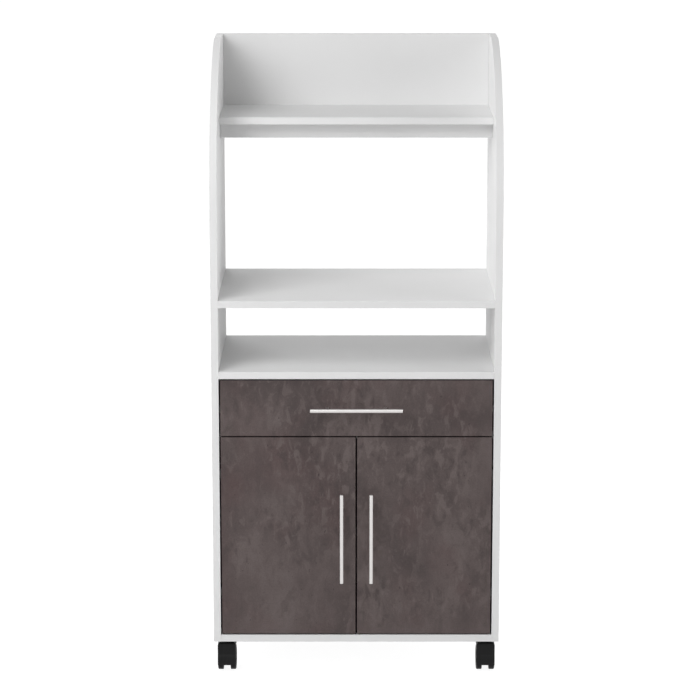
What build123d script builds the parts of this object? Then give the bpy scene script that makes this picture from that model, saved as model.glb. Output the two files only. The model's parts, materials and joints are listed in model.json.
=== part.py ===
"""Kitchen trolley: a white board carcass on four hooded casters, with one drawer over two inset doors.

Millimetres, +Z up, front towards -Y. The origin is on the floor, under the middle of the whole trolley,
its handles included.
"""
import math
import os

from build123d import *

# Carcass
WIDTH = 640
DEPTH = 400
BOARD = 16
CABINET_BAY = 589
LOW_BAY = 143
OPEN_BAY = 369
TOP_RISE = 163
TOP_SHELF_DEPTH = 232
APRON_HEIGHT = 35
APRON_SETBACK = 44
ARC_DROP = 340
ARC_SETBACK = 280
HARDBOARD = 3
RAIL_DEPTH = 60
RAIL_SETBACK = 4.5
EDGE_BREAK = 0.6

# Fronts
FRONT_GAP = 3.5
LINE_GAP = 3
DRAWER_FRONT_HEIGHT = 126

# Inner shelf
INNER_SHELF_SHARE = 0.5
INNER_SHELF_SETBACK = 40
INNER_SHELF_PLAY = 0.8
PIN_RADIUS = 2.5
PIN_IN_PANEL = 8
PIN_OUT = 8
PIN_INSET = 50

# Board fittings
FITTING_INSET = 70
DOWEL_OFFSET = 25
DOWEL_RADIUS = 4
DOWEL_LENGTH = 30
IN_PANEL = 10
CAM_RADIUS = 7.5
CAM_DEPTH = 12
CAM_INSET = 34
BOLT_RADIUS = 3
PANEL_PEG_INSET = 40
RAIL_PEG_INSET = 15
FIT = 0.05

# Drawer box
DRAWER_DEPTH = 350
DRAWER_SIDE = 12
DRAWER_SIDE_HEIGHT = 90
DRAWER_SIDE_GAP = 5
DRAWER_LIFT = 12
DRAWER_BOTTOM_LIFT = 8
STRIP_HEIGHT = 16
STRIP_IN_GROOVE = 6
STRIP_SHARE = 0.5
GROOVE_PLAY = 0.3

# Handles
HANDLE_LENGTH = 204
HANDLE_SPACING = 128
HANDLE_RADIUS = 4.5
HANDLE_POST = 3.5
HANDLE_PROJECTION = 30
HANDLE_INSET = 31
HANDLE_SCREW = 2
SCREW_IN_POST = 9
SCREW_HEAD = 4
SCREW_HEAD_THICK = 2

# Hinges
PIVOT_INSET = 8
PIVOT_BACK = 7
HINGE_END = 90
CUP_RADIUS = 17.5
CUP_WALL = 1.2
CUP_FLOOR = 0.8
CUP_OFFSET = 12
POCKET_DEPTH = 13
HINGE_PIN = 1.25
HINGE_EYE = 2.6
ARM_STRAP = 2.4
ARM_REACH = 12
ARM_BACK = 15
ARM_TAIL = 46
ARM_WIDTH = 12
PLATE_THICK = 2
PLATE_LENGTH = 44
PLATE_WIDTH = 24
PLATE_START = 13.5

# Door catches
CATCH_LENGTH = 40
CATCH_DEPTH = 20
CATCH_HEIGHT = 12
CATCH_OFFSET = 40
STRIKE_THICK = 1.2
STRIKE_GAP = 0.3

# Casters
CASTER_HEIGHT = 78
CASTER_INSET = 28
STEM_SETBACK = 30
TRAIL = 14
WHEEL_RADIUS = 29
WHEEL_WIDTH = 12.5
WHEEL_GAP = 0.5
WHEEL_ROUND = 3
WHEEL_DISH = 2
WHEEL_DISH_RADIUS = 21
WEB_WIDTH = 15
HOOD_GAP = 1.5
HOOD_WALL = 2.5
HOOD_FLOOR_GAP = 18
HOOD_BACK = 12
HOOD_NECK = 16
HOOD_TOP_GAP = 4
HOOD_ROUND = 8
AXLE_RADIUS = 3
AXLE_SKIN = 3
STEM_RADIUS = 5
STEM_IN_HOOD = 12
STEM_IN_BOARD = 13
SOCKET_WALL = 1.5
FLANGE_RADIUS = 11
FLANGE_THICK = 2.5
RUN_PLAY = 0.05

# Cuts run this far past the faces they open
OVERRUN = 1

# Planes and levels that the pieces share
FRONT = (HANDLE_PROJECTION - DEPTH) / 2
BACK = FRONT + DEPTH
FRONT_BACK = FRONT + BOARD
INNER = WIDTH / 2 - BOARD
BOTTOM = CASTER_HEIGHT
BOTTOM_TOP = BOTTOM + BOARD
WORKTOP_LOW = BOTTOM_TOP + CABINET_BAY
WORKTOP_TOP = WORKTOP_LOW + BOARD
MIDDLE_LOW = WORKTOP_TOP + LOW_BAY
MIDDLE_TOP = MIDDLE_LOW + BOARD
TOP_LOW = MIDDLE_TOP + OPEN_BAY
TOP_TOP = TOP_LOW + BOARD
HEIGHT = TOP_TOP + TOP_RISE
PANEL_BACK = BACK - BOARD
TOP_FRONT = PANEL_BACK - TOP_SHELF_DEPTH
APRON_FRONT = TOP_FRONT + APRON_SETBACK
APRON_LOW = TOP_LOW - APRON_HEIGHT

DRAWER_TOP = WORKTOP_LOW - LINE_GAP
DRAWER_LOW = DRAWER_TOP - DRAWER_FRONT_HEIGHT
DOOR_TOP = DRAWER_LOW - LINE_GAP
DOOR_LOW = BOTTOM_TOP + LINE_GAP
DOOR_OUTER = INNER - FRONT_GAP
DOOR_INNER = FRONT_GAP / 2
DOOR_MID = (DOOR_LOW + DOOR_TOP) / 2
RAIL_MID = (DRAWER_LOW + DOOR_TOP) / 2
RAIL_LOW = RAIL_MID - BOARD / 2
RAIL_FRONT = FRONT_BACK + RAIL_SETBACK
SHELF_LOW = BOTTOM_TOP + (RAIL_LOW - BOTTOM_TOP) * INNER_SHELF_SHARE - BOARD / 2
SHELF_FRONT = FRONT_BACK + INNER_SHELF_SETBACK
SHELF_BACK = BACK - HARDBOARD - INNER_SHELF_PLAY

PIVOT_X = DOOR_OUTER - PIVOT_INSET
PIVOT_Y = FRONT + PIVOT_BACK
HINGE_LEVELS = (DOOR_LOW + HINGE_END, DOOR_TOP - HINGE_END)
# The pin's ends stop half way through the cup's wall
HINGE_PIN_HALF = math.sqrt((CUP_RADIUS - CUP_WALL / 2) ** 2 - (CUP_OFFSET + HINGE_PIN) ** 2)
SIDES = (-1, 1)

AXLE_Z = WHEEL_RADIUS
CASTER_X = WIDTH / 2 - CASTER_INSET
STEM_ROWS = {"front": FRONT + STEM_SETBACK, "rear": BACK - STEM_SETBACK - TRAIL}
HOOD_HALF = WEB_WIDTH / 2 + WHEEL_GAP + WHEEL_WIDTH
HOOD_TOP = BOTTOM - FLANGE_THICK - HOOD_TOP_GAP


def block(x, y, z):
    """A box between a low and a high value on each axis."""
    spans = [max(pair) - min(pair) for pair in (x, y, z)]
    middle = [(pair[0] + pair[1]) / 2 for pair in (x, y, z)]
    return Pos(*middle) * Box(*spans)


def board(x, y, z):
    """A melamine board with its long edges slightly broken."""
    solid = block(x, y, z)
    return chamfer(solid.edges(), EDGE_BREAK)


def rod(start, end, radius):
    """A round rod from one point to another."""
    path = Vector(*end) - Vector(*start)
    from_start = (Align.CENTER, Align.CENTER, Align.MIN)
    return Plane(origin=start, z_dir=path) * Cylinder(radius, path.length, align=from_start)


def flip(solid):
    """The same piece on the other side of the trolley."""
    return mirror(solid, about=Plane.YZ)


def handed(solid, way):
    """A right-hand piece as it is, or flipped for the left side."""
    return flip(solid) if way < 0 else solid


def fuse(solids):
    """One solid from overlapping ones."""
    first, *rest = solids
    return first.fuse(*rest)


def node(name, solids):
    """Write one named piece, or a group of like pieces, to its own file."""
    group = solids if isinstance(solids, list) else [solids]
    parts = [solid for item in group for solid in item.solids()]
    shape = parts[0] if len(parts) == 1 else Compound(children=parts)
    shape.label = name
    export_step(shape, f"parts/{name}.step")


# Fittings between the side panels and the boards: (front, back, low) of each board end
FITTED = {
    "bottom_board": (FRONT, BACK, BOTTOM),
    "worktop": (FRONT, BACK, WORKTOP_LOW),
    "middle_shelf": (FRONT, BACK, MIDDLE_LOW),
    "top_shelf": (TOP_FRONT, PANEL_BACK, TOP_LOW),
}


# Plain dowels in the ends of the upright boards and the rail: (y, z) of each
PANEL_PEG_LEVELS = (TOP_TOP + PANEL_PEG_INSET, HEIGHT - PANEL_PEG_INSET)
PEGGED = {
    "top_back_panel": [(PANEL_BACK + BOARD / 2, z) for z in PANEL_PEG_LEVELS],
    "top_apron": [(APRON_FRONT + BOARD / 2, (APRON_LOW + TOP_LOW) / 2)],
    "cross_rail": [(RAIL_FRONT + y, RAIL_MID) for y in (RAIL_PEG_INSET, RAIL_DEPTH - RAIL_PEG_INSET)],
}


def end_dowel(side, y, z, play):
    """A dowel across the joint between a board's end and a side panel."""
    outer = side * (INNER + IN_PANEL + play)
    inner = side * (INNER + IN_PANEL - DOWEL_LENGTH - play)
    return rod((outer, y, z), (inner, y, z), DOWEL_RADIUS + play)


def pegs(name, play):
    """The plain dowels at both ends of one board, grown by play to cut their holes."""
    return [end_dowel(side, y, z, play) for side in SIDES for y, z in PEGGED[name]]


def pegged_board(name, y, z):
    """A board between the side panels with the holes for its plain dowels."""
    return board((-INNER, INNER), y, z).cut(*pegs(name, FIT))


def fitting_rows(front, back):
    """Each cam's place along the depth, with the way to the dowel beside it."""
    return ((front + FITTING_INSET, 1), (back - FITTING_INSET, -1))


def fittings(name, play):
    """Dowels, cam bolts and cam discs of one board, grown by play to cut their holes."""
    front, back, low = FITTED[name]
    # The bottom board's cams are let in from above, clear of the casters
    cam_from_top = name == "bottom_board"
    dowels, bolts, cams = [], [], []
    for side in SIDES:
        for y, turn in fitting_rows(front, back):
            mid = low + BOARD / 2
            outer = side * (INNER + IN_PANEL + play)
            dowels.append(end_dowel(side, y + turn * DOWEL_OFFSET, mid, play))
            cam_x = side * (INNER - CAM_INSET)
            bolt_end = side * (INNER - CAM_INSET + CAM_RADIUS + FIT - play)
            bolts.append(rod((outer, y, mid), (bolt_end, y, mid), BOLT_RADIUS + play))
            cam_low = low + BOARD - CAM_DEPTH if cam_from_top else low
            cams.append(rod((cam_x, y, cam_low), (cam_x, y, cam_low + CAM_DEPTH), CAM_RADIUS + play))
    return dowels, bolts, cams


def cut_fittings(solid, name):
    """The board with the holes for its own fittings."""
    dowels, bolts, cams = fittings(name, FIT)
    return solid.cut(*dowels, *bolts, *cams)


def side_panel(side):
    """A full-height side whose front edge sweeps back in one arc to the top."""
    spring = HEIGHT - ARC_DROP
    radius = (ARC_DROP**2 + ARC_SETBACK**2) / (2 * ARC_SETBACK)
    half = math.atan2(ARC_DROP, radius - ARC_SETBACK) / 2
    on_arc = (FRONT + radius * (1 - math.cos(half)), spring + radius * math.sin(half))
    top_front = (FRONT + ARC_SETBACK, HEIGHT)
    corners = Polyline(top_front, (BACK, HEIGHT), (BACK, BOTTOM), (FRONT, BOTTOM), (FRONT, spring))
    outline = make_face([ThreePointArc((FRONT, spring), on_arc, top_front), corners])
    solid = extrude(Plane.YZ.offset(INNER) * outline, BOARD)
    solid = chamfer(solid.edges().group_by(Axis.X)[-1], EDGE_BREAK)
    solid = handed(solid, side)
    holes = [hole for name in FITTED for group in fittings(name, FIT)[:2] for hole in group]
    holes += [hole for name in PEGGED for hole in pegs(name, FIT)]
    return solid.cut(*holes, *shelf_pins(FIT))


def shelf_pins(play):
    """Pins in the side panels that carry the inner shelf."""
    pins = []
    for side in SIDES:
        for y in (SHELF_FRONT + PIN_INSET, SHELF_BACK - PIN_INSET):
            z = SHELF_LOW - PIN_RADIUS
            outer = side * (INNER + PIN_IN_PANEL + play)
            pins.append(rod((outer, y, z), (side * (INNER - PIN_OUT), y, z), PIN_RADIUS + play))
    return pins


def carcass():
    """The fixed boards, the fittings that join them and the runner strips."""
    across = (-INNER, INNER)
    node("side_panel_left", side_panel(-1))
    node("side_panel_right", side_panel(1))
    bottom = board(across, (FRONT, BACK), (BOTTOM, BOTTOM_TOP))
    node("bottom_board", cut_fittings(bottom, "bottom_board").cut(*caster_sockets(FIT)))
    node("worktop", cut_fittings(board(across, (FRONT, BACK), (WORKTOP_LOW, WORKTOP_TOP)), "worktop"))
    middle = board(across, (FRONT, BACK), (MIDDLE_LOW, MIDDLE_TOP))
    node("middle_shelf", cut_fittings(middle, "middle_shelf"))
    node("top_shelf", cut_fittings(board(across, (TOP_FRONT, PANEL_BACK), (TOP_LOW, TOP_TOP)), "top_shelf"))
    node("top_back_panel", pegged_board("top_back_panel", (PANEL_BACK, BACK), (TOP_LOW, HEIGHT)))
    node("top_apron", pegged_board("top_apron", (APRON_FRONT, APRON_FRONT + BOARD), (APRON_LOW, TOP_LOW)))
    node("cabinet_back", block(across, (BACK - HARDBOARD, BACK), (BOTTOM_TOP, WORKTOP_LOW)))
    rail_y = (RAIL_FRONT, RAIL_FRONT + RAIL_DEPTH)
    node("cross_rail", pegged_board("cross_rail", rail_y, (RAIL_LOW, RAIL_LOW + BOARD)))
    inner_width = INNER - INNER_SHELF_PLAY
    shelf_z = (SHELF_LOW, SHELF_LOW + BOARD)
    node("inner_shelf", board((-inner_width, inner_width), (SHELF_FRONT, SHELF_BACK), shelf_z))
    node("shelf_pins", shelf_pins(0))
    groups = [fittings(name, 0) for name in FITTED]
    dowels, bolts, cams = ([solid for group in groups for solid in group[index]] for index in range(3))
    node("dowels", dowels + [peg for name in PEGGED for peg in pegs(name, 0)])
    node("cam_bolts", bolts)
    node("cam_discs", cams)


# Drawer levels and faces
DRAWER_OUTER = INNER - DRAWER_SIDE_GAP
DRAWER_INNER = DRAWER_OUTER - DRAWER_SIDE
DRAWER_SIDE_LOW = DRAWER_LOW + DRAWER_LIFT
DRAWER_SIDE_TOP = DRAWER_SIDE_LOW + DRAWER_SIDE_HEIGHT
DRAWER_END = FRONT_BACK + DRAWER_DEPTH
STRIP_LOW = DRAWER_SIDE_LOW + (DRAWER_SIDE_HEIGHT - STRIP_HEIGHT) * STRIP_SHARE
DRAWER_MID = (DRAWER_LOW + DRAWER_TOP) / 2


def drawer():
    """The drawer box, hung by grooved sides on two strips."""
    groove_x = (DRAWER_OUTER - STRIP_IN_GROOVE - GROOVE_PLAY, DRAWER_OUTER + OVERRUN)
    groove_z = (STRIP_LOW - GROOVE_PLAY, STRIP_LOW + STRIP_HEIGHT + GROOVE_PLAY)
    groove = block(groove_x, (FRONT_BACK - OVERRUN, DRAWER_END + OVERRUN), groove_z)
    side = block((DRAWER_INNER, DRAWER_OUTER), (FRONT_BACK, DRAWER_END), (DRAWER_SIDE_LOW, DRAWER_SIDE_TOP))
    side = side.cut(groove)
    node("drawer_side_right", side)
    node("drawer_side_left", flip(side))
    strip_x = (DRAWER_OUTER - STRIP_IN_GROOVE, INNER)
    strip = block(strip_x, (RAIL_FRONT, DRAWER_END), (STRIP_LOW, STRIP_LOW + STRIP_HEIGHT))
    node("runner_strip_right", strip)
    node("runner_strip_left", flip(strip))
    across = (-DRAWER_INNER, DRAWER_INNER)
    back_y = (DRAWER_END - DRAWER_SIDE, DRAWER_END)
    node("drawer_back", block(across, back_y, (DRAWER_SIDE_LOW, DRAWER_SIDE_TOP)))
    floor = DRAWER_SIDE_LOW + DRAWER_BOTTOM_LIFT
    node("drawer_bottom", block(across, (FRONT_BACK, back_y[0]), (floor, floor + HARDBOARD)))
    front = board((-DOOR_OUTER, DOOR_OUTER), (FRONT, FRONT_BACK), (DRAWER_LOW, DRAWER_TOP))
    centre, along = (0, DRAWER_MID), (1, 0)
    node("drawer_front", front.cut(*screw_holes(handle_spots(centre, along))))
    handle("drawer", centre, along)


def screw_holes(spots):
    """Through holes in a front for its handle's screws."""
    return [rod((x, FRONT - OVERRUN, z), (x, FRONT_BACK + OVERRUN, z), HANDLE_SCREW + FIT) for x, z in spots]


def handle_spots(centre, along):
    """Where the two posts of a handle meet the front."""
    half = HANDLE_SPACING / 2
    return [(centre[0] + way * half * along[0], centre[1] + way * half * along[1]) for way in SIDES]


def handle(owner, centre, along):
    """A round bar on two posts, screwed from behind the front."""
    bar_y = FRONT - HANDLE_PROJECTION + HANDLE_RADIUS
    half = HANDLE_LENGTH / 2
    ends = [(centre[0] + way * half * along[0], bar_y, centre[1] + way * half * along[1]) for way in SIDES]
    bar = rod(*ends, HANDLE_RADIUS)
    bar = chamfer(bar.edges().filter_by(GeomType.CIRCLE), EDGE_BREAK)
    posts, screws, seats = [], [], []
    for x, z in handle_spots(centre, along):
        post = rod((x, bar_y, z), (x, FRONT, z), HANDLE_POST)
        screw_tip = FRONT - SCREW_IN_POST
        seats.append(rod((x, screw_tip - FIT, z), (x, FRONT + OVERRUN, z), HANDLE_SCREW + FIT))
        shank = rod((x, screw_tip, z), (x, FRONT_BACK, z), HANDLE_SCREW)
        head = rod((x, FRONT_BACK, z), (x, FRONT_BACK + SCREW_HEAD_THICK, z), SCREW_HEAD)
        posts.append(post)
        screws.append(shank.fuse(head))
    posts = [post.cut(bar, *seats) for post in posts]
    node(f"{owner}_handle_bar", bar)
    node(f"{owner}_handle_posts", posts)
    node(f"{owner}_handle_screws", screws)


def hinge_cup(z, radius, floor_y):
    """A round cup open at the door's back."""
    x = PIVOT_X - CUP_OFFSET
    return rod((x, floor_y, z), (x, FRONT_BACK, z), radius)


def hinge_set():
    """The right-hand door's hinges: cups and pins in the door, arms and plates on the side panel."""
    pocket_y = FRONT_BACK - POCKET_DEPTH
    cups, pins, arms, plates, pockets = [], [], [], [], []
    tail_x = INNER - PLATE_THICK
    strap_half = ARM_STRAP / 2
    for z in HINGE_LEVELS:
        ends = ((PIVOT_X, PIVOT_Y, z - HINGE_PIN_HALF), (PIVOT_X, PIVOT_Y, z + HINGE_PIN_HALF))
        pins.append(rod(*ends, HINGE_PIN))
        hollow = hinge_cup(z, CUP_RADIUS - CUP_WALL, pocket_y + CUP_FLOOR)
        shell = hinge_cup(z, CUP_RADIUS, pocket_y).cut(hollow)
        cups.append(shell.cut(rod(*ends, HINGE_PIN + FIT)))
        pockets.append(hinge_cup(z, CUP_RADIUS + FIT, pocket_y))
        width = (z - ARM_WIDTH / 2, z + ARM_WIDTH / 2)
        far = PIVOT_X - ARM_REACH
        back_y = PIVOT_Y + ARM_BACK
        straps = [
            rod((PIVOT_X, PIVOT_Y, width[0]), (PIVOT_X, PIVOT_Y, width[1]), HINGE_EYE),
            block((far - strap_half, PIVOT_X), (PIVOT_Y - strap_half, PIVOT_Y + strap_half), width),
            block((far - strap_half, far + strap_half), (PIVOT_Y - strap_half, back_y + strap_half), width),
            block((far - strap_half, tail_x), (back_y - strap_half, back_y + strap_half), width),
            block((tail_x - ARM_STRAP, tail_x), (back_y - strap_half, PIVOT_Y + ARM_TAIL), width),
        ]
        arms.append(fuse(straps).cut(rod(*ends, HINGE_PIN + RUN_PLAY)))
        plate_y = (PIVOT_Y + PLATE_START, PIVOT_Y + PLATE_START + PLATE_LENGTH)
        plates.append(block((tail_x, INNER), plate_y, (z - PLATE_WIDTH / 2, z + PLATE_WIDTH / 2)))
    return cups, pins, arms, plates, pockets


def doors():
    """Two inset doors with their hinges, handles and magnet catches."""
    cups, pins, arms, plates, pockets = hinge_set()
    node("hinge_arms", arms + [flip(arm) for arm in arms])
    node("hinge_plates", plates + [flip(plate) for plate in plates])
    panel = board((DOOR_INNER, DOOR_OUTER), (FRONT, FRONT_BACK), (DOOR_LOW, DOOR_TOP)).cut(*pockets)
    handle_x = DOOR_INNER + HANDLE_INSET
    panel = panel.cut(*screw_holes(handle_spots((handle_x, DOOR_MID), (0, 1))))
    strike_mid = RAIL_LOW - CATCH_HEIGHT / 2
    strike_x = (CATCH_OFFSET, CATCH_OFFSET + CATCH_LENGTH)
    strike_z = (strike_mid - CATCH_HEIGHT / 2, strike_mid + CATCH_HEIGHT / 2)
    strike = block(strike_x, (FRONT_BACK, FRONT_BACK + STRIKE_THICK), strike_z)
    catch_front = FRONT_BACK + STRIKE_THICK + STRIKE_GAP
    catch = block(strike_x, (catch_front, catch_front + CATCH_DEPTH), (RAIL_LOW - CATCH_HEIGHT, RAIL_LOW))
    node("magnet_catches", [catch, flip(catch)])
    for name, way in (("right", 1), ("left", -1)):
        node(f"door_{name}", handed(panel, way))
        node(f"hinge_cups_{name}", [handed(cup, way) for cup in cups])
        node(f"hinge_pins_{name}", [handed(pin, way) for pin in pins])
        node(f"strike_plate_{name}", handed(strike, way))
        handle(f"door_{name}", (way * handle_x, DOOR_MID), (0, 1))


def caster_places():
    """Each caster's name with the place of its stem."""
    for row, y in STEM_ROWS.items():
        for side, hand in ((-1, "left"), (1, "right")):
            yield f"{row}_{hand}", side * CASTER_X, y


def caster_sockets(play):
    """Flanged sockets let into the bottom board."""
    sockets = []
    for _, x, y in caster_places():
        top = BOTTOM + STEM_IN_BOARD + play
        sockets.append(rod((x, y, BOTTOM), (x, y, top), STEM_RADIUS + SOCKET_WALL + play))
    return sockets


def hood(x, y):
    """The caster's body: a web between the wheels and a cover over their front and top."""
    axle_y = y + TRAIL
    outer = WHEEL_RADIUS + HOOD_GAP + HOOD_WALL
    drum = rod((x - HOOD_HALF, axle_y, AXLE_Z), (x + HOOD_HALF, axle_y, AXLE_Z), outer)
    neck_y = (y - HOOD_NECK, y + HOOD_NECK)
    neck = block((x - HOOD_HALF, x + HOOD_HALF), neck_y, (AXLE_Z, HOOD_TOP))
    neck = fillet(neck.edges().group_by(Axis.Z)[-1], HOOD_ROUND)
    wide = (x - HOOD_HALF - OVERRUN, x + HOOD_HALF + OVERRUN)
    under = AXLE_Z - outer - OVERRUN
    below = block(wide, (axle_y - outer - OVERRUN, axle_y + outer + OVERRUN), (under, HOOD_FLOOR_GAP))
    behind_y = (axle_y + HOOD_BACK, axle_y + outer + OVERRUN)
    behind = block(wide, behind_y, (under, HOOD_TOP + OVERRUN))
    body = drum.fuse(neck).cut(below, behind)
    for side in SIDES:
        inner = x + side * WEB_WIDTH / 2
        outside = x + side * (HOOD_HALF + OVERRUN)
        body = body.cut(rod((inner, axle_y, AXLE_Z), (outside, axle_y, AXLE_Z), WHEEL_RADIUS + HOOD_GAP))
    axle_hole = rod((x - HOOD_HALF, axle_y, AXLE_Z), (x + HOOD_HALF, axle_y, AXLE_Z), AXLE_RADIUS + FIT)
    stem_low = HOOD_TOP - STEM_IN_HOOD - RUN_PLAY
    stem_hole = rod((x, y, stem_low), (x, y, HOOD_TOP + OVERRUN), STEM_RADIUS + RUN_PLAY)
    return body.cut(axle_hole, stem_hole)


def wheel(x, axle_y, side):
    """One dished wheel of a twin pair, with a blind hub bore."""
    inner = x + side * (WEB_WIDTH / 2 + WHEEL_GAP)
    outer = inner + side * WHEEL_WIDTH
    body = rod((inner, axle_y, AXLE_Z), (outer, axle_y, AXLE_Z), WHEEL_RADIUS)
    body = fillet(body.edges().filter_by(GeomType.CIRCLE), WHEEL_ROUND)
    dish = (outer - side * WHEEL_DISH, outer + side * OVERRUN)
    face = rod((dish[0], axle_y, AXLE_Z), (dish[1], axle_y, AXLE_Z), WHEEL_DISH_RADIUS)
    bore_end = outer - side * (WHEEL_DISH + AXLE_SKIN - RUN_PLAY)
    bore = rod((inner - side * OVERRUN, axle_y, AXLE_Z), (bore_end, axle_y, AXLE_Z), AXLE_RADIUS + RUN_PLAY)
    return body.cut(face, bore)


def casters():
    """Four swivelling twin-wheel casters and what holds them in the bottom board."""
    sockets, stems = [], []
    axle_half = HOOD_HALF - WHEEL_DISH - AXLE_SKIN
    for sleeve, (name, x, y) in zip(caster_sockets(0), caster_places()):
        flange = rod((x, y, BOTTOM - FLANGE_THICK), (x, y, BOTTOM), FLANGE_RADIUS)
        stem_ends = ((x, y, HOOD_TOP - STEM_IN_HOOD), (x, y, BOTTOM + STEM_IN_BOARD))
        stems.append(rod(*stem_ends, STEM_RADIUS))
        sockets.append(sleeve.fuse(flange).cut(rod(*stem_ends, STEM_RADIUS + FIT)))
        axle_y = y + TRAIL
        node(f"caster_hood_{name}", hood(x, y))
        axle = rod((x - axle_half, axle_y, AXLE_Z), (x + axle_half, axle_y, AXLE_Z), AXLE_RADIUS)
        node(f"caster_axle_{name}", axle)
        node(f"caster_wheel_{name}_a", wheel(x, axle_y, -1))
        node(f"caster_wheel_{name}_b", wheel(x, axle_y, 1))
    node("caster_sockets", sockets)
    node("caster_stems", stems)


os.makedirs("parts", exist_ok=True)
carcass()
drawer()
doors()
casters()
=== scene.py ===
"""Looks of the kitchen trolley: finishes, fine pieces, studio light and the photograph's camera."""
import json
import math

import bmesh
import bpy
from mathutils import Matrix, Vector


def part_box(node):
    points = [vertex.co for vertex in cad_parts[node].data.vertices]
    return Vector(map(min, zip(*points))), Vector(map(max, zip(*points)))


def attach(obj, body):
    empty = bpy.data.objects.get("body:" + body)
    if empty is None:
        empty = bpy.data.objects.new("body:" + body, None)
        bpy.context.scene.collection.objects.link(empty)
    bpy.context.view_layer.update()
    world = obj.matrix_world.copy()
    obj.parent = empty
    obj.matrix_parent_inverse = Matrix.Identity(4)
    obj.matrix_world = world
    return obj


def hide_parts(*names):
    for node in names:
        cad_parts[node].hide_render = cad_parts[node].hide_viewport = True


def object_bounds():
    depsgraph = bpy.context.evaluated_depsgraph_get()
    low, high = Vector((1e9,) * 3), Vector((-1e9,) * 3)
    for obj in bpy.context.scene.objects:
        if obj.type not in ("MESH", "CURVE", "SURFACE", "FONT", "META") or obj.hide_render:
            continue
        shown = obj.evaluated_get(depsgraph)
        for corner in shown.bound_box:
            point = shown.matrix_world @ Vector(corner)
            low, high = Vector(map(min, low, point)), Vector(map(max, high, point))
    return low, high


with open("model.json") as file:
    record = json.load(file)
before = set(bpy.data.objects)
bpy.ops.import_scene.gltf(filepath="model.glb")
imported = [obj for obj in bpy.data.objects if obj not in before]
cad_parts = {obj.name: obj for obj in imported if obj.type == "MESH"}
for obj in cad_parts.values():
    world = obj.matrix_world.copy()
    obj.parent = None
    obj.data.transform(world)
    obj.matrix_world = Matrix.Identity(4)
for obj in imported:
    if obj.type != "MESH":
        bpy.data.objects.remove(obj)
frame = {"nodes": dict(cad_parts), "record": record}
nodes = frame["nodes"]
cad_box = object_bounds()

MM = 0.001


# Material helpers

# A new ramp stop starts here and then moves to its own place
NEW_STOP = 0.5


def new_material(name):
    """A node material with one shader: the material, its node tree and the shader."""
    material = bpy.data.materials.new(name)
    material.use_nodes = True
    tree = material.node_tree
    tree.nodes.clear()
    shader = tree.nodes.new("ShaderNodeBsdfPrincipled")
    output = tree.nodes.new("ShaderNodeOutputMaterial")
    tree.links.new(shader.outputs["BSDF"], output.inputs["Surface"])
    return material, tree, shader


def place(tree, stretch=(1, 1, 1), shift=(0, 0, 0)):
    """The piece's own coordinates in metres, stretched and shifted."""
    coords = tree.nodes.new("ShaderNodeTexCoord")
    mapping = tree.nodes.new("ShaderNodeMapping")
    mapping.inputs["Scale"].default_value = stretch
    mapping.inputs["Location"].default_value = shift
    tree.links.new(coords.outputs["Object"], mapping.inputs["Vector"])
    return mapping.outputs["Vector"]


def noise(tree, vector, scale, detail=3.0, roughness=0.55, distortion=0.0):
    """A noise pattern: its factor."""
    texture = tree.nodes.new("ShaderNodeTexNoise")
    texture.inputs["Scale"].default_value = scale
    texture.inputs["Detail"].default_value = detail
    texture.inputs["Roughness"].default_value = roughness
    texture.inputs["Distortion"].default_value = distortion
    tree.links.new(vector, texture.inputs["Vector"])
    return texture.outputs["Fac"]


def ramp(tree, factor, stops):
    """Colours by factor, from (place, colour) stops."""
    node = tree.nodes.new("ShaderNodeValToRGB")
    elements = node.color_ramp.elements
    while len(elements) < len(stops):
        elements.new(NEW_STOP)
    for element, (position, colour) in zip(elements, stops):
        element.position = position
        element.color = (*colour, 1)
    tree.links.new(factor, node.inputs["Fac"])
    return node.outputs["Color"]


def grey(value):
    """A neutral colour."""
    return (value, value, value)


def grey_stops(*stops):
    """Ramp stops in neutral colours, from (place, value) pairs."""
    return [(position, grey(value)) for position, value in stops]


def shades(colour, dark_share, low, high):
    """Ramp stops from a darker share of a colour up to the colour itself."""
    return (low, tuple(channel * dark_share for channel in colour)), (high, colour)


def along_axis(axis_name, stretch):
    """A stretch along one axis, for grain and brushed lines."""
    return tuple(stretch if axis == axis_name else 1.0 for axis in "XYZ")


def mix(tree, kind, first, second, amount):
    """Two colours blended; each colour is a tuple or a socket, amount a number or a socket."""
    node = tree.nodes.new("ShaderNodeMix")
    node.data_type = "RGBA"
    node.blend_type = kind
    if isinstance(amount, (int, float)):
        node.inputs["Factor"].default_value = amount
    else:
        tree.links.new(amount, node.inputs["Factor"])
    for socket, value in ((node.inputs["A"], first), (node.inputs["B"], second)):
        if isinstance(value, tuple):
            socket.default_value = (*value, 1)
        else:
            tree.links.new(value, socket)
    return node.outputs["Result"]


def bump(tree, shader, height, depth, strength):
    """Fine relief from a height factor; depth is in metres."""
    node = tree.nodes.new("ShaderNodeBump")
    node.inputs["Strength"].default_value = strength
    node.inputs["Distance"].default_value = depth
    tree.links.new(height, node.inputs["Height"])
    tree.links.new(node.outputs["Normal"], shader.inputs["Normal"])


def spread(tree, shader, socket, factor, low, high):
    """A shader value that follows a factor between two numbers."""
    node = tree.nodes.new("ShaderNodeMapRange")
    node.inputs["To Min"].default_value = low
    node.inputs["To Max"].default_value = high
    tree.links.new(factor, node.inputs["Value"])
    tree.links.new(node.outputs["Result"], shader.inputs[socket])


# White melamine

BOARD_SHADES = grey_stops((0.3, 0.785), (0.7, 0.815))
BOARD_ROUGHNESS = (0.48, 0.58)
BOARD_GLOSS = 0.22
BOARD_PEARL_DEPTH = 0.04 * MM


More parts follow.
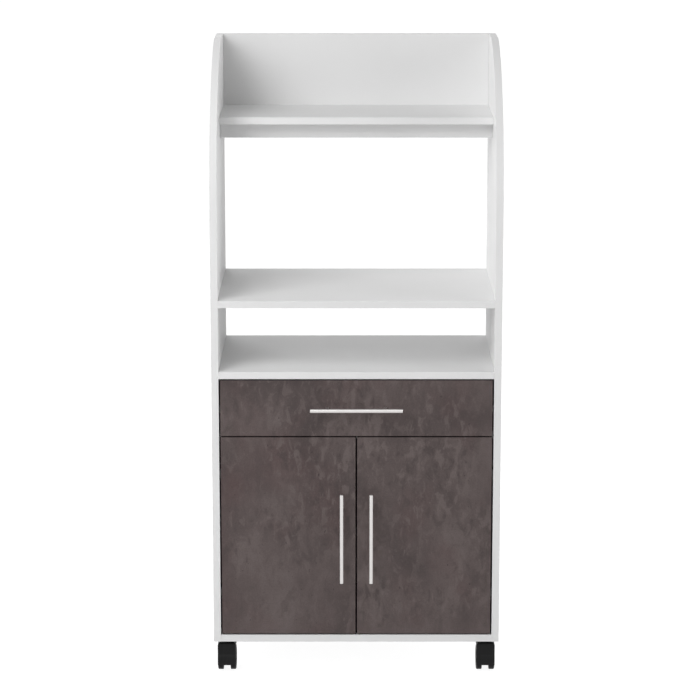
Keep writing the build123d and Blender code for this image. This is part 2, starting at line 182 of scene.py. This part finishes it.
def white_board():
    """White melamine: nearly even, with a fine pearl and a faint cloud of gloss."""
    material, tree, shader = new_material("white_melamine")
    where = place(tree)
    cloud = noise(tree, where, scale=3.0)
    pearl = noise(tree, where, scale=900.0, detail=2.0)
    tree.links.new(ramp(tree, cloud, BOARD_SHADES), shader.inputs["Base Color"])
    spread(tree, shader, "Roughness", cloud, *BOARD_ROUGHNESS)
    shader.inputs["Specular IOR Level"].default_value = BOARD_GLOSS
    bump(tree, shader, pearl, BOARD_PEARL_DEPTH, strength=0.35)
    return material


# Dark oxide decor: each pattern's stretch and shift, then its scale, detail, roughness and distortion

DECOR_PATTERNS = {
    "patches": ((1, 1, 0.8), (0, 0, 0), 8.0, 3.0, 0.5, 0.3),
    "warm": ((1, 1, 0.8), (3.1, 0, 1.7), 5.5, 3.0, 0.55, 0.0),
    "clusters": ((1, 1, 0.8), (6.4, 0, 8.2), 9.0, 2.0, 0.55, 0.0),
    "strokes": ((1, 1, 0.52), (0.7, 0, 0.2), 58.0, 3.0, 0.55, 0.5),
    "mottle": ((1, 1, 0.6), (5.3, 0, 2.9), 130.0, 3.0, 0.6, 0.6),
    "grain": ((1, 1, 1), (0, 0, 0), 420.0, 3.0, 0.55, 0.0),
    "pits": ((1, 1, 0.7), (9.1, 0, 4.4), 150.0, 2.0, 0.55, 0.0),
}
DECOR_BASE = ((0.30, (0.056, 0.042, 0.041)), (0.50, (0.086, 0.0655, 0.0635)), (0.70, (0.114, 0.090, 0.087)))
DECOR_BUSY = grey_stops((0.40, 0.25), (0.62, 1))
# Layers over the base: pattern, colour, ramp from none to full, and whether it keeps to the busy clusters
DECOR_LAYERS = (
    ("warm", (0.083, 0.052, 0.051), grey_stops((0.50, 0), (0.72, 0.75)), False),
    ("strokes", (0.128, 0.102, 0.098), grey_stops((0.53, 0), (0.62, 0.75)), True),
    ("strokes", (0.050, 0.037, 0.036), grey_stops((0.34, 0.7), (0.47, 0)), True),
    ("mottle", (0.120, 0.095, 0.091), grey_stops((0.56, 0), (0.70, 0.55)), True),
    ("pits", (0.026, 0.019, 0.019), grey_stops((0.72, 0), (0.77, 0.8)), False),
)
DECOR_GRAIN = grey_stops((0.35, 0.42), (0.65, 0.58))
DECOR_GRAIN_AMOUNT = 0.6
DECOR_ROUGHNESS = (0.46, 0.62)
DECOR_GLOSS = 0.3
DECOR_GRAIN_DEPTH = 0.1 * MM


def front_decor():
    """Dark oxide decor: brown-grey and reddish patches, short upright strokes in clusters, few dark pits."""
    material, tree, shader = new_material("oxide_decor")
    pattern = {name: noise(tree, place(tree, stretch, shift), *settings)
               for name, (stretch, shift, *settings) in DECOR_PATTERNS.items()}
    busy = ramp(tree, pattern["clusters"], DECOR_BUSY)
    colour = ramp(tree, pattern["patches"], DECOR_BASE)
    for name, layer_colour, stops, clustered in DECOR_LAYERS:
        share = ramp(tree, pattern[name], stops)
        if clustered:
            share = mix(tree, "MULTIPLY", share, busy, 1.0)
        colour = mix(tree, "MIX", colour, layer_colour, share)
    grain = pattern["grain"]
    colour = mix(tree, "SOFT_LIGHT", colour, ramp(tree, grain, DECOR_GRAIN), DECOR_GRAIN_AMOUNT)
    tree.links.new(colour, shader.inputs["Base Color"])
    spread(tree, shader, "Roughness", pattern["strokes"], *DECOR_ROUGHNESS)
    shader.inputs["Specular IOR Level"].default_value = DECOR_GLOSS
    bump(tree, shader, grain, DECOR_GRAIN_DEPTH, strength=0.3)
    return material


# Metal, plastic and wood: roughness varies a little to both sides of its value

LESS_ROUGH, MORE_ROUGH = 0.85, 1.15
BRUSH_STRETCH = 0.02
BRUSH_DEPTH = 0.02 * MM
WOOD_STRETCH = 0.08
WOOD_ROUGHNESS = (0.55, 0.7)
WOOD_DEPTH = 0.1 * MM


def satin_metal(name, colour, roughness, along):
    """Brushed metal, its fine lines running along one axis."""
    material, tree, shader = new_material(name)
    lines = noise(tree, place(tree, along_axis(along, BRUSH_STRETCH)), scale=1600.0)
    dull = noise(tree, place(tree), scale=35.0)
    tint = ramp(tree, lines, shades(colour, dark_share=0.92, low=0.35, high=0.65))
    tree.links.new(tint, shader.inputs["Base Color"])
    shader.inputs["Metallic"].default_value = 1.0
    spread(tree, shader, "Roughness", dull, roughness * LESS_ROUGH, roughness * MORE_ROUGH)
    bump(tree, shader, lines, BRUSH_DEPTH, strength=0.3)
    return material


def plastic(name, colour, roughness, texture_scale, depth, gloss=0.5):
    """Moulded plastic with a fine spark-eroded texture."""
    material, tree, shader = new_material(name)
    shader.inputs["Specular IOR Level"].default_value = gloss
    fine = noise(tree, place(tree), texture_scale)
    cloud = noise(tree, place(tree), scale=40.0)
    tint = ramp(tree, cloud, shades(colour, dark_share=0.85, low=0.3, high=0.7))
    tree.links.new(tint, shader.inputs["Base Color"])
    spread(tree, shader, "Roughness", cloud, roughness * LESS_ROUGH, roughness * MORE_ROUGH)
    bump(tree, shader, fine, depth, strength=0.5)
    return material


def raw_wood(name, colour, along):
    """Plain wood with its grain along one axis."""
    material, tree, shader = new_material(name)
    grain = noise(tree, place(tree, along_axis(along, WOOD_STRETCH)), scale=600.0, detail=5.0)
    tint = ramp(tree, grain, shades(colour, dark_share=0.7, low=0.3, high=0.7))
    tree.links.new(tint, shader.inputs["Base Color"])
    spread(tree, shader, "Roughness", grain, *WOOD_ROUGHNESS)
    bump(tree, shader, grain, WOOD_DEPTH, strength=0.4)
    return material


# Thin back board and drawer bottom

FIBRE_BOARD_SHADES = ((0.3, (0.70, 0.70, 0.685)), (0.7, (0.75, 0.75, 0.738)))
FIBRE_MOTTLE = grey_stops((0.4, 0.44), (0.6, 0.56))
FIBRE_MOTTLE_AMOUNT = 0.5
FIBRE_ROUGHNESS = (0.5, 0.65)
FIBRE_DEPTH = 0.1 * MM


def hardboard():
    """Thin board lacquered white on its face, with the faint mottle of its fibres."""
    material, tree, shader = new_material("lacquered_hardboard")
    fibres = noise(tree, place(tree), scale=260.0, detail=5.0)
    cloud = noise(tree, place(tree), scale=7.0)
    face = ramp(tree, cloud, FIBRE_BOARD_SHADES)
    face = mix(tree, "SOFT_LIGHT", face, ramp(tree, fibres, FIBRE_MOTTLE), FIBRE_MOTTLE_AMOUNT)
    tree.links.new(face, shader.inputs["Base Color"])
    spread(tree, shader, "Roughness", fibres, *FIBRE_ROUGHNESS)
    bump(tree, shader, fibres, FIBRE_DEPTH, strength=0.3)
    return material


# Finishes by the record's material slots

FINISH = {
    "white_board": white_board(),
    "front_decor": front_decor(),
    "handle_metal": satin_metal("satin_nickel", (0.66, 0.64, 0.63), roughness=0.36, along="Z"),
    "caster_plastic": plastic("hood_plastic", (0.007, 0.007, 0.0073), roughness=0.45,
                              texture_scale=1400.0, depth=0.06 * MM, gloss=0.16),
    "wheel_plastic": plastic("wheel_nylon", (0.006, 0.006, 0.0063), roughness=0.50,
                             texture_scale=900.0, depth=0.08 * MM, gloss=0.16),
    "fitting_plastic": plastic("fitting_plastic", (0.05, 0.05, 0.05), roughness=0.45,
                               texture_scale=1200.0, depth=0.05 * MM),
    "runner_plastic": plastic("runner_plastic", (0.74, 0.74, 0.72), roughness=0.40,
                              texture_scale=1000.0, depth=0.05 * MM),
    "dowel_wood": raw_wood("beech", (0.55, 0.38, 0.22), along="X"),
    "hardboard": hardboard(),
    "steel": satin_metal("nickel_plate", (0.66, 0.655, 0.64), roughness=0.30, along="Y"),
}
HINGE_FINISH = satin_metal("hinge_steel", (0.20, 0.20, 0.20), roughness=0.45, along="Y")


def dress(piece, finish):
    """Give a piece one finish all over."""
    piece.data.materials.clear()
    piece.data.materials.append(finish)


for entry in frame["record"]["subparts"]:
    hinge = entry["node"].startswith("hinge_")
    dress(nodes[entry["node"]], HINGE_FINISH if hinge else FINISH[entry["material_slot"]])


# Mesh helpers

SAME_SPOT_DIGITS = 5
SHARP_ANGLE = math.radians(32)
LATHE_STEPS = 48
SCREW_STEPS = 32
# Recess cutters run this far past the face they open
RECESS_OVER = 1 * MM


def solids_of(name):
    """The low and high corner of each separate solid in a node."""
    mesh = nodes[name].data
    spots = [tuple(round(value, SAME_SPOT_DIGITS) for value in vertex.co) for vertex in mesh.vertices]
    leader = {spot: spot for spot in spots}

    def lead(spot):
        while leader[spot] != spot:
            spot = leader[spot]
        return spot

    for face in mesh.polygons:
        first = lead(spots[face.vertices[0]])
        for index in face.vertices[1:]:
            leader[lead(spots[index])] = first
    groups = {}
    for spot in sorted(leader):
        groups.setdefault(lead(spot), []).append(spot)
    return [(Vector(map(min, zip(*group))), Vector(map(max, zip(*group)))) for group in groups.values()]


def cross_axes(axis):
    """An axis of length one, and two more square to it."""
    axis = axis.normalized()
    across = axis.orthogonal().normalized()
    return axis, across, axis.cross(across)


def lathe(shape, start, axis, profile, steps=LATHE_STEPS):
    """Turn (along, radius) points round an axis, from one end on the axis to the other."""
    axis, across, beside = cross_axes(axis)
    rings = []
    for along, radius in profile:
        ring_centre = start + axis * along
        count = steps if radius > 0 else 1
        turns = (math.tau * index / count for index in range(count))
        spokes = ((across * math.cos(turn) + beside * math.sin(turn)) * radius for turn in turns)
        rings.append([shape.verts.new(ring_centre + spoke) for spoke in spokes])
    for low, high in zip(rings, rings[1:]):
        for index in range(steps):
            after = (index + 1) % steps
            corners = [low[index % len(low)], low[after % len(low)],
                       high[after % len(high)], high[index % len(high)]]
            shape.faces.new(list(dict.fromkeys(corners)))


def prism(shape, outline, top, axis, depth):
    """A closed prism below an outline of (across, beside) points."""
    axis, across, beside = cross_axes(axis)
    ends = [[shape.verts.new(top - axis * down + across * u + beside * v) for u, v in outline]
            for down in (0, depth)]
    for end in ends:
        shape.faces.new(end)
    count = len(outline)
    for index in range(count):
        after = (index + 1) % count
        shape.faces.new([ends[0][index], ends[0][after], ends[1][after], ends[1][index]])


def cross(arm, width):
    """The outline of a cross recess."""
    half = width / 2
    quarter = [(arm, -half), (arm, half), (half, half)]
    outline = []
    for cosine, sine in ((1, 0), (0, 1), (-1, 0), (0, -1)):
        outline += [(u * cosine - v * sine, u * sine + v * cosine) for u, v in quarter]
    return outline


def box_solid(shape, low, high):
    """A plain closed box between two corners."""
    made = bmesh.ops.create_cube(shape, size=1)
    bmesh.ops.scale(shape, vec=high - low, verts=made["verts"])
    bmesh.ops.translate(shape, vec=(low + high) / 2, verts=made["verts"])


def solid_mesh(name, shape):
    """A mesh with outward faces from a bmesh, which is freed."""
    bmesh.ops.recalc_face_normals(shape, faces=shape.faces)
    mesh = bpy.data.meshes.new(name)
    shape.to_mesh(mesh)
    shape.free()
    return mesh


def crisp(mesh):
    """Smooth faces, with edges kept sharp."""
    mesh.polygons.foreach_set("use_smooth", [True] * len(mesh.polygons))
    mesh.set_sharp_from_angle(angle=SHARP_ANGLE)


def add_piece(name, shape, body, slot, cutter=None, stands_for=()):
    """A new piece on a body, with a cutter's shape taken out of it."""
    item = bpy.data.objects.new(name, solid_mesh(name, shape))
    bpy.context.scene.collection.objects.link(item)
    if cutter:
        tool = bpy.data.objects.new(name + "_cut", solid_mesh(name + "_cut", cutter))
        bpy.context.scene.collection.objects.link(tool)
        cut = item.modifiers.new("cut", "BOOLEAN")
        cut.operation = "DIFFERENCE"
        cut.solver = "EXACT"
        cut.object = tool
        carved = bpy.data.meshes.new_from_object(item.evaluated_get(bpy.context.evaluated_depsgraph_get()))
        item.modifiers.clear()
        item.data = carved
        bpy.data.objects.remove(tool)
    crisp(item.data)
    dress(item, FINISH[slot])
    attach(item, body)
    for node_name in stands_for:
        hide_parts(node_name)


# Cam discs

CAM_EDGE = 0.6 * MM
CAM_CROSS = (4.6 * MM, 1.9 * MM)
CAM_CROSS_DEPTH = 3 * MM


def slotted_cams():
    """Cam discs with a broken rim and a cross recess on the face that shows."""
    shape, cutter = bmesh.new(), bmesh.new()
    for low, high in solids_of("cam_discs"):
        radius = (high.x - low.x) / 2
        thick = high.z - low.z
        up = 1 if high.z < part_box("bottom_board")[1].z + CAM_EDGE else -1
        centre = (low + high) / 2
        axis = Vector((0, 0, up))
        start = centre - axis * thick / 2
        profile = ((0, 0), (0, radius), (thick - CAM_EDGE, radius), (thick, radius - CAM_EDGE), (thick, 0))
        lathe(shape, start, axis, profile)
        over_face = start + axis * (thick + RECESS_OVER)
        prism(cutter, cross(*CAM_CROSS), over_face, axis, RECESS_OVER + CAM_CROSS_DEPTH)
    add_piece("slotted_cams", shape, "carcass", "steel", cutter, ("cam_discs",))


# Handle screws: the dome's (height left, radius) points are shares of its height and of the head's radius

SCREW_CROSS = (2.3 * MM, 0.9 * MM)
SCREW_CROSS_DEPTH = 1.3 * MM
HEAD_THICK = 2 * MM
HEAD_DOME = 0.7 * MM
HEAD_DOME_SHARES = ((1, 1), (0.35, 0.82), (0, 0.5))
SHANK_SHARE = 0.5
SHANK_POINT_SHARE = 0.8
SHANK_TAPER_SHARE = 0.2


def handle_screws(owner):
    """Domed cross-head screws behind a front."""
    shape, cutter = bmesh.new(), bmesh.new()
    axis = Vector((0, 1, 0))
    for low, high in solids_of(owner + "_handle_screws"):
        head = (high.x - low.x) / 2
        shank = head * SHANK_SHARE
        length = high.y - low.y
        start = Vector(((low.x + high.x) / 2, low.y, (low.z + high.z) / 2))
        neck = length - HEAD_THICK
        dome = [(length - HEAD_DOME * left, head * across) for left, across in HEAD_DOME_SHARES]
        profile = [(0, 0), (0, shank * SHANK_POINT_SHARE), (shank * SHANK_TAPER_SHARE, shank),
                   (neck, shank), (neck, head), *dome, (length, 0)]
        lathe(shape, start, axis, profile, SCREW_STEPS)
        over_face = start + axis * (length + RECESS_OVER)
        prism(cutter, cross(*SCREW_CROSS), over_face, axis, RECESS_OVER + SCREW_CROSS_DEPTH)
    add_piece(owner + "_cross_screws", shape, owner, "steel", cutter, (owner + "_handle_screws",))


# Hinge-plate screws: (height, radius) points are shares of the head's thickness and radius

PLATE_HEAD = 2.4 * MM
PLATE_HEAD_THICK = 1.3 * MM
PLATE_HEAD_SHARES = ((0, 0), (0, 1), (0.5, 1), (0.85, 0.8), (1, 0.45), (1, 0))
PLATE_CROSS = (1.5 * MM, 0.6 * MM)
PLATE_CROSS_DEPTH = 0.8 * MM
PLATE_SCREW_SHARE = 0.6
PLATE_SCREW_INSET = 3 * MM


def plate_screws():
    """Two cross-head screws in each hinge plate, clear of the arm between them."""
    shape, cutter = bmesh.new(), bmesh.new()
    profile = [(PLATE_HEAD_THICK * up, PLATE_HEAD * across) for up, across in PLATE_HEAD_SHARES]
    for low, high in solids_of("hinge_plates"):
        way = -1 if low.x > 0 else 1
        axis = Vector((way, 0, 0))
        face_x = low.x if way < 0 else high.x
        y = low.y + (high.y - low.y) * PLATE_SCREW_SHARE
        for z in (low.z + PLATE_SCREW_INSET, high.z - PLATE_SCREW_INSET):
            start = Vector((face_x, y, z))
            lathe(shape, start, axis, profile, SCREW_STEPS)
            over_face = start + axis * (PLATE_HEAD_THICK + RECESS_OVER)
            prism(cutter, cross(*PLATE_CROSS), over_face, axis, RECESS_OVER + PLATE_CROSS_DEPTH)
    add_piece("hinge_plate_screws", shape, "carcass", "steel", cutter)


# Magnet catches

POLE_THICK = 1.2 * MM
POLE_REACH = 8 * MM
POLE_SIDE = 2 * MM
POLE_SHARES = (0.28, 0.72)
CATCH_ROUND = 1 * MM
CATCH_ROUND_STEPS = 3


def magnet_catches():
    """Rounded catch bodies with two steel pole plates each."""
    bodies, poles = bmesh.new(), bmesh.new()
    for low, high in solids_of("magnet_catches"):
        box_solid(bodies, low + Vector((0, POLE_THICK / 2, 0)), high)
        for share in POLE_SHARES:
            z = low.z + (high.z - low.z) * share
            box_solid(poles, Vector((low.x + POLE_SIDE, low.y, z - POLE_THICK / 2)),
                      Vector((high.x - POLE_SIDE, low.y + POLE_REACH, z + POLE_THICK / 2)))
    bmesh.ops.bevel(bodies, geom=bodies.edges, offset=CATCH_ROUND, segments=CATCH_ROUND_STEPS,
                    affect="EDGES", profile=0.5)
    add_piece("catch_bodies", bodies, "carcass", "fitting_plastic", None, ("magnet_catches",))
    add_piece("catch_poles", poles, "carcass", "steel")


# Caster wheels

WHEEL_PREFIX = "caster_wheel_"
WHEEL_STEPS = 72
WHEEL_SHOULDER = 3 * MM
SHOULDER_TURNS = tuple(math.radians(turn) for turn in (0, 30, 60, 90))
WHEEL_INNER_EDGE = 1 * MM
TREAD_GROOVE = 0.7 * MM
TREAD_GROOVE_WIDTH = 1 * MM
TREAD_GROOVE_SHARES = (0.36, 0.58)
DISH_RADIUS = 21 * MM
DISH_DEPTH = 2 * MM
HUB_RADIUS = 7 * MM
HUB_RISE = 1.2 * MM
BORE_PLAY = 0.1 * MM
DIMPLES = 5
DIMPLE_STEPS = 24
DIMPLE_RING = 13.8 * MM
DIMPLE_RADIUS = 3.2 * MM
DIMPLE_DEPTH = 1.1 * MM


def caster_wheel(name):
    """A twin wheel: a grooved tread, a dished outer face with a hub and a ring of dimples."""
    low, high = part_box(name)
    place_name = name.removeprefix(WHEEL_PREFIX).rsplit("_", 1)[0]
    hood_low, hood_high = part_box("caster_hood_" + place_name)
    axle_low, axle_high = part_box("caster_axle_" + place_name)
    outward = 1 if low.x + high.x > hood_low.x + hood_high.x else -1
    axis = Vector((outward, 0, 0))
    radius, width = (high.z - low.z) / 2, high.x - low.x
    start = (low + high) / 2 - axis * width / 2
    axle = (axle_high.z - axle_low.z) / 2 + BORE_PLAY
    axle_end = axle_high.x if outward > 0 else axle_low.x
    bore = axle_end * outward - start.x * outward + BORE_PLAY
    profile = [(bore, 0), (bore, axle), (0, axle), (0, radius - WHEEL_INNER_EDGE), (WHEEL_INNER_EDGE, radius)]
    for share in TREAD_GROOVE_SHARES:
        at = width * share
        profile += [(at - TREAD_GROOVE_WIDTH / 2, radius), (at, radius - TREAD_GROOVE),
                    (at + TREAD_GROOVE_WIDTH / 2, radius)]
    profile += [(width - WHEEL_SHOULDER * (1 - math.sin(turn)),
                 radius - WHEEL_SHOULDER * (1 - math.cos(turn))) for turn in SHOULDER_TURNS]
    floor_at = width - DISH_DEPTH
    profile += [(width, DISH_RADIUS), (floor_at, DISH_RADIUS - DISH_DEPTH / 2), (floor_at, HUB_RADIUS),
                (floor_at + HUB_RISE, HUB_RADIUS - HUB_RISE), (floor_at + HUB_RISE, 0)]
    shape, cutter = bmesh.new(), bmesh.new()
    lathe(shape, start, axis, profile, WHEEL_STEPS)
    dimple_floor, over_face = floor_at - DIMPLE_DEPTH, width + RECESS_OVER
    dimple = ((dimple_floor, 0), (dimple_floor, DIMPLE_RADIUS), (over_face, DIMPLE_RADIUS), (over_face, 0))
    for index in range(DIMPLES):
        turn = math.tau * index / DIMPLES
        spot = start + Vector((0, math.cos(turn), math.sin(turn))) * DIMPLE_RING
        lathe(cutter, spot, axis, dimple, DIMPLE_STEPS)
    add_piece(name.replace("caster_wheel", "grooved_wheel"), shape, name, "wheel_plastic", cutter, (name,))


slotted_cams()
for front in ("drawer", "door_left", "door_right"):
    handle_screws(front)
plate_screws()
magnet_catches()
for node_name in sorted(nodes):
    if node_name.startswith(WHEEL_PREFIX):
        caster_wheel(node_name)


# Camera, from the fit to the photograph's board edges: its 700-pixel frame on a 36 mm sensor

SENSOR = 36.0
FRAME_PX = 700
FOCAL_PX = 2699
CAMERA_DISTANCE = 5.8
CAMERA_HEIGHT = 1.988
CAMERA_SIDE = -0.014
CAMERA_PITCH = math.radians(12.06)

front_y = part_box("side_panel_left")[0].y
camera_data = bpy.data.cameras.new("camera")
camera_data.sensor_width = SENSOR
camera_data.lens = SENSOR * FOCAL_PX / FRAME_PX
camera = bpy.data.objects.new("camera", camera_data)
camera.location = (CAMERA_SIDE, front_y - CAMERA_DISTANCE, CAMERA_HEIGHT)
camera.rotation_euler = (math.pi / 2 - CAMERA_PITCH, 0, 0)
bpy.context.scene.collection.objects.link(camera)
bpy.context.scene.camera = camera


# Studio: lamps by name, with the degrees to the left of straight in front, the degrees upward and the watts

LAMPS = (
    ("key_low", 35, 20, 40),
    ("key_high", 35, 40, 61),
    ("left", 100, 37, 34),
    ("right", -80, 15, 70),
    ("rear_left", 150, 20, 44),
    ("rear_right", -150, 20, 16),
)
LAMP_DISTANCE = 4.0
LAMP_SIZE = 2.2
AMBIENT = 0.2
WHITE = (1, 1, 1, 1)
FLOOR_HALF_WIDTH = 60.0
FLOOR_GREY = 0.85
# The floor glows a little less near the object, where it shows a share of the light and so the shadow
NEAR_GLOW = 0.92
SHADOW_SHARE = 0.25
SHADOW_REACH = 1.6

middle = (cad_box[0] + cad_box[1]) / 2


def ring_lamp(name, to_the_left, upward, power):
    """A soft lamp on a ring round the object, by its angles in degrees from straight in front."""
    azimuth, elevation = math.radians(to_the_left), math.radians(upward)
    outward = Vector((-math.sin(azimuth) * math.cos(elevation),
                      -math.cos(azimuth) * math.cos(elevation),
                      math.sin(elevation)))
    data = bpy.data.lights.new(name, "AREA")
    data.size = LAMP_SIZE
    data.energy = power
    lamp = bpy.data.objects.new(name, data)
    lamp.location = middle + outward * LAMP_DISTANCE
    lamp.rotation_euler = (-outward).to_track_quat("-Z", "Y").to_euler()
    bpy.context.scene.collection.objects.link(lamp)


def camera_side(tree):
    """A factor that is one for camera, glossy and transmission rays."""
    rays = tree.nodes.new("ShaderNodeLightPath")
    total = rays.outputs["Is Camera Ray"]
    for kind in ("Is Glossy Ray", "Is Transmission Ray"):
        node = tree.nodes.new("ShaderNodeMath")
        node.operation = "MAXIMUM"
        tree.links.new(total, node.inputs[0])
        tree.links.new(rays.outputs[kind], node.inputs[1])
        total = node.outputs["Value"]
    return total


def seen_and_lit(tree, lit, seen, output_kind):
    """End a node tree: one shader for what the camera side sees, and one for the light on the object."""
    blend = tree.nodes.new("ShaderNodeMixShader")
    output = tree.nodes.new(output_kind)
    tree.links.new(camera_side(tree), blend.inputs["Fac"])
    tree.links.new(lit, blend.inputs[1])
    tree.links.new(seen, blend.inputs[2])
    tree.links.new(blend.outputs["Shader"], output.inputs["Surface"])


def studio_world():
    """White to look at, and a soft even fill on the object."""
    world = bpy.data.worlds.new("studio")
    world.use_nodes = True
    bpy.context.scene.world = world
    tree = world.node_tree
    tree.nodes.clear()
    fill = tree.nodes.new("ShaderNodeBackground")
    fill.inputs["Color"].default_value = WHITE
    fill.inputs["Strength"].default_value = AMBIENT
    seen = tree.nodes.new("ShaderNodeBackground")
    seen.inputs["Color"].default_value = WHITE
    seen_and_lit(tree, fill.outputs["Background"], seen.outputs["Background"], "ShaderNodeOutputWorld")


def studio_floor():
    """A pale floor, white to look at, that keeps a share of the object's shadow close to it."""
    mesh = bpy.data.meshes.new("floor")
    signs = ((-1, -1), (1, -1), (1, 1), (-1, 1))
    corners = [(x * FLOOR_HALF_WIDTH, y * FLOOR_HALF_WIDTH, 0) for x, y in signs]
    mesh.from_pydata(corners, [], [(0, 1, 2, 3)])
    floor = bpy.data.objects.new("floor", mesh)
    bpy.context.scene.collection.objects.link(floor)
    material = bpy.data.materials.new("floor")
    material.use_nodes = True
    tree = material.node_tree
    tree.nodes.clear()
    matt = tree.nodes.new("ShaderNodeBsdfDiffuse")
    matt.inputs["Color"].default_value = (*grey(FLOOR_GREY), 1)
    shadowed = tree.nodes.new("ShaderNodeBsdfDiffuse")
    shadowed.inputs["Color"].default_value = (*grey(SHADOW_SHARE), 1)
    white = tree.nodes.new("ShaderNodeEmission")
    reach = tree.nodes.new("ShaderNodeVectorMath")
    reach.operation = "LENGTH"
    glow = tree.nodes.new("ShaderNodeMapRange")
    glow.inputs["From Min"].default_value = SHADOW_REACH / 2
    glow.inputs["From Max"].default_value = SHADOW_REACH
    glow.inputs["To Min"].default_value = NEAR_GLOW
    both = tree.nodes.new("ShaderNodeAddShader")
    tree.links.new(place(tree), reach.inputs[0])
    tree.links.new(reach.outputs["Value"], glow.inputs["Value"])
    tree.links.new(glow.outputs["Result"], white.inputs["Strength"])
    tree.links.new(white.outputs["Emission"], both.inputs[0])
    tree.links.new(shadowed.outputs["BSDF"], both.inputs[1])
    seen_and_lit(tree, matt.outputs["BSDF"], both.outputs["Shader"], "ShaderNodeOutputMaterial")
    mesh.materials.append(material)


for lamp_row in LAMPS:
    ring_lamp(*lamp_row)
studio_world()
studio_floor()

bpy.context.scene.view_settings.view_transform = "Standard"
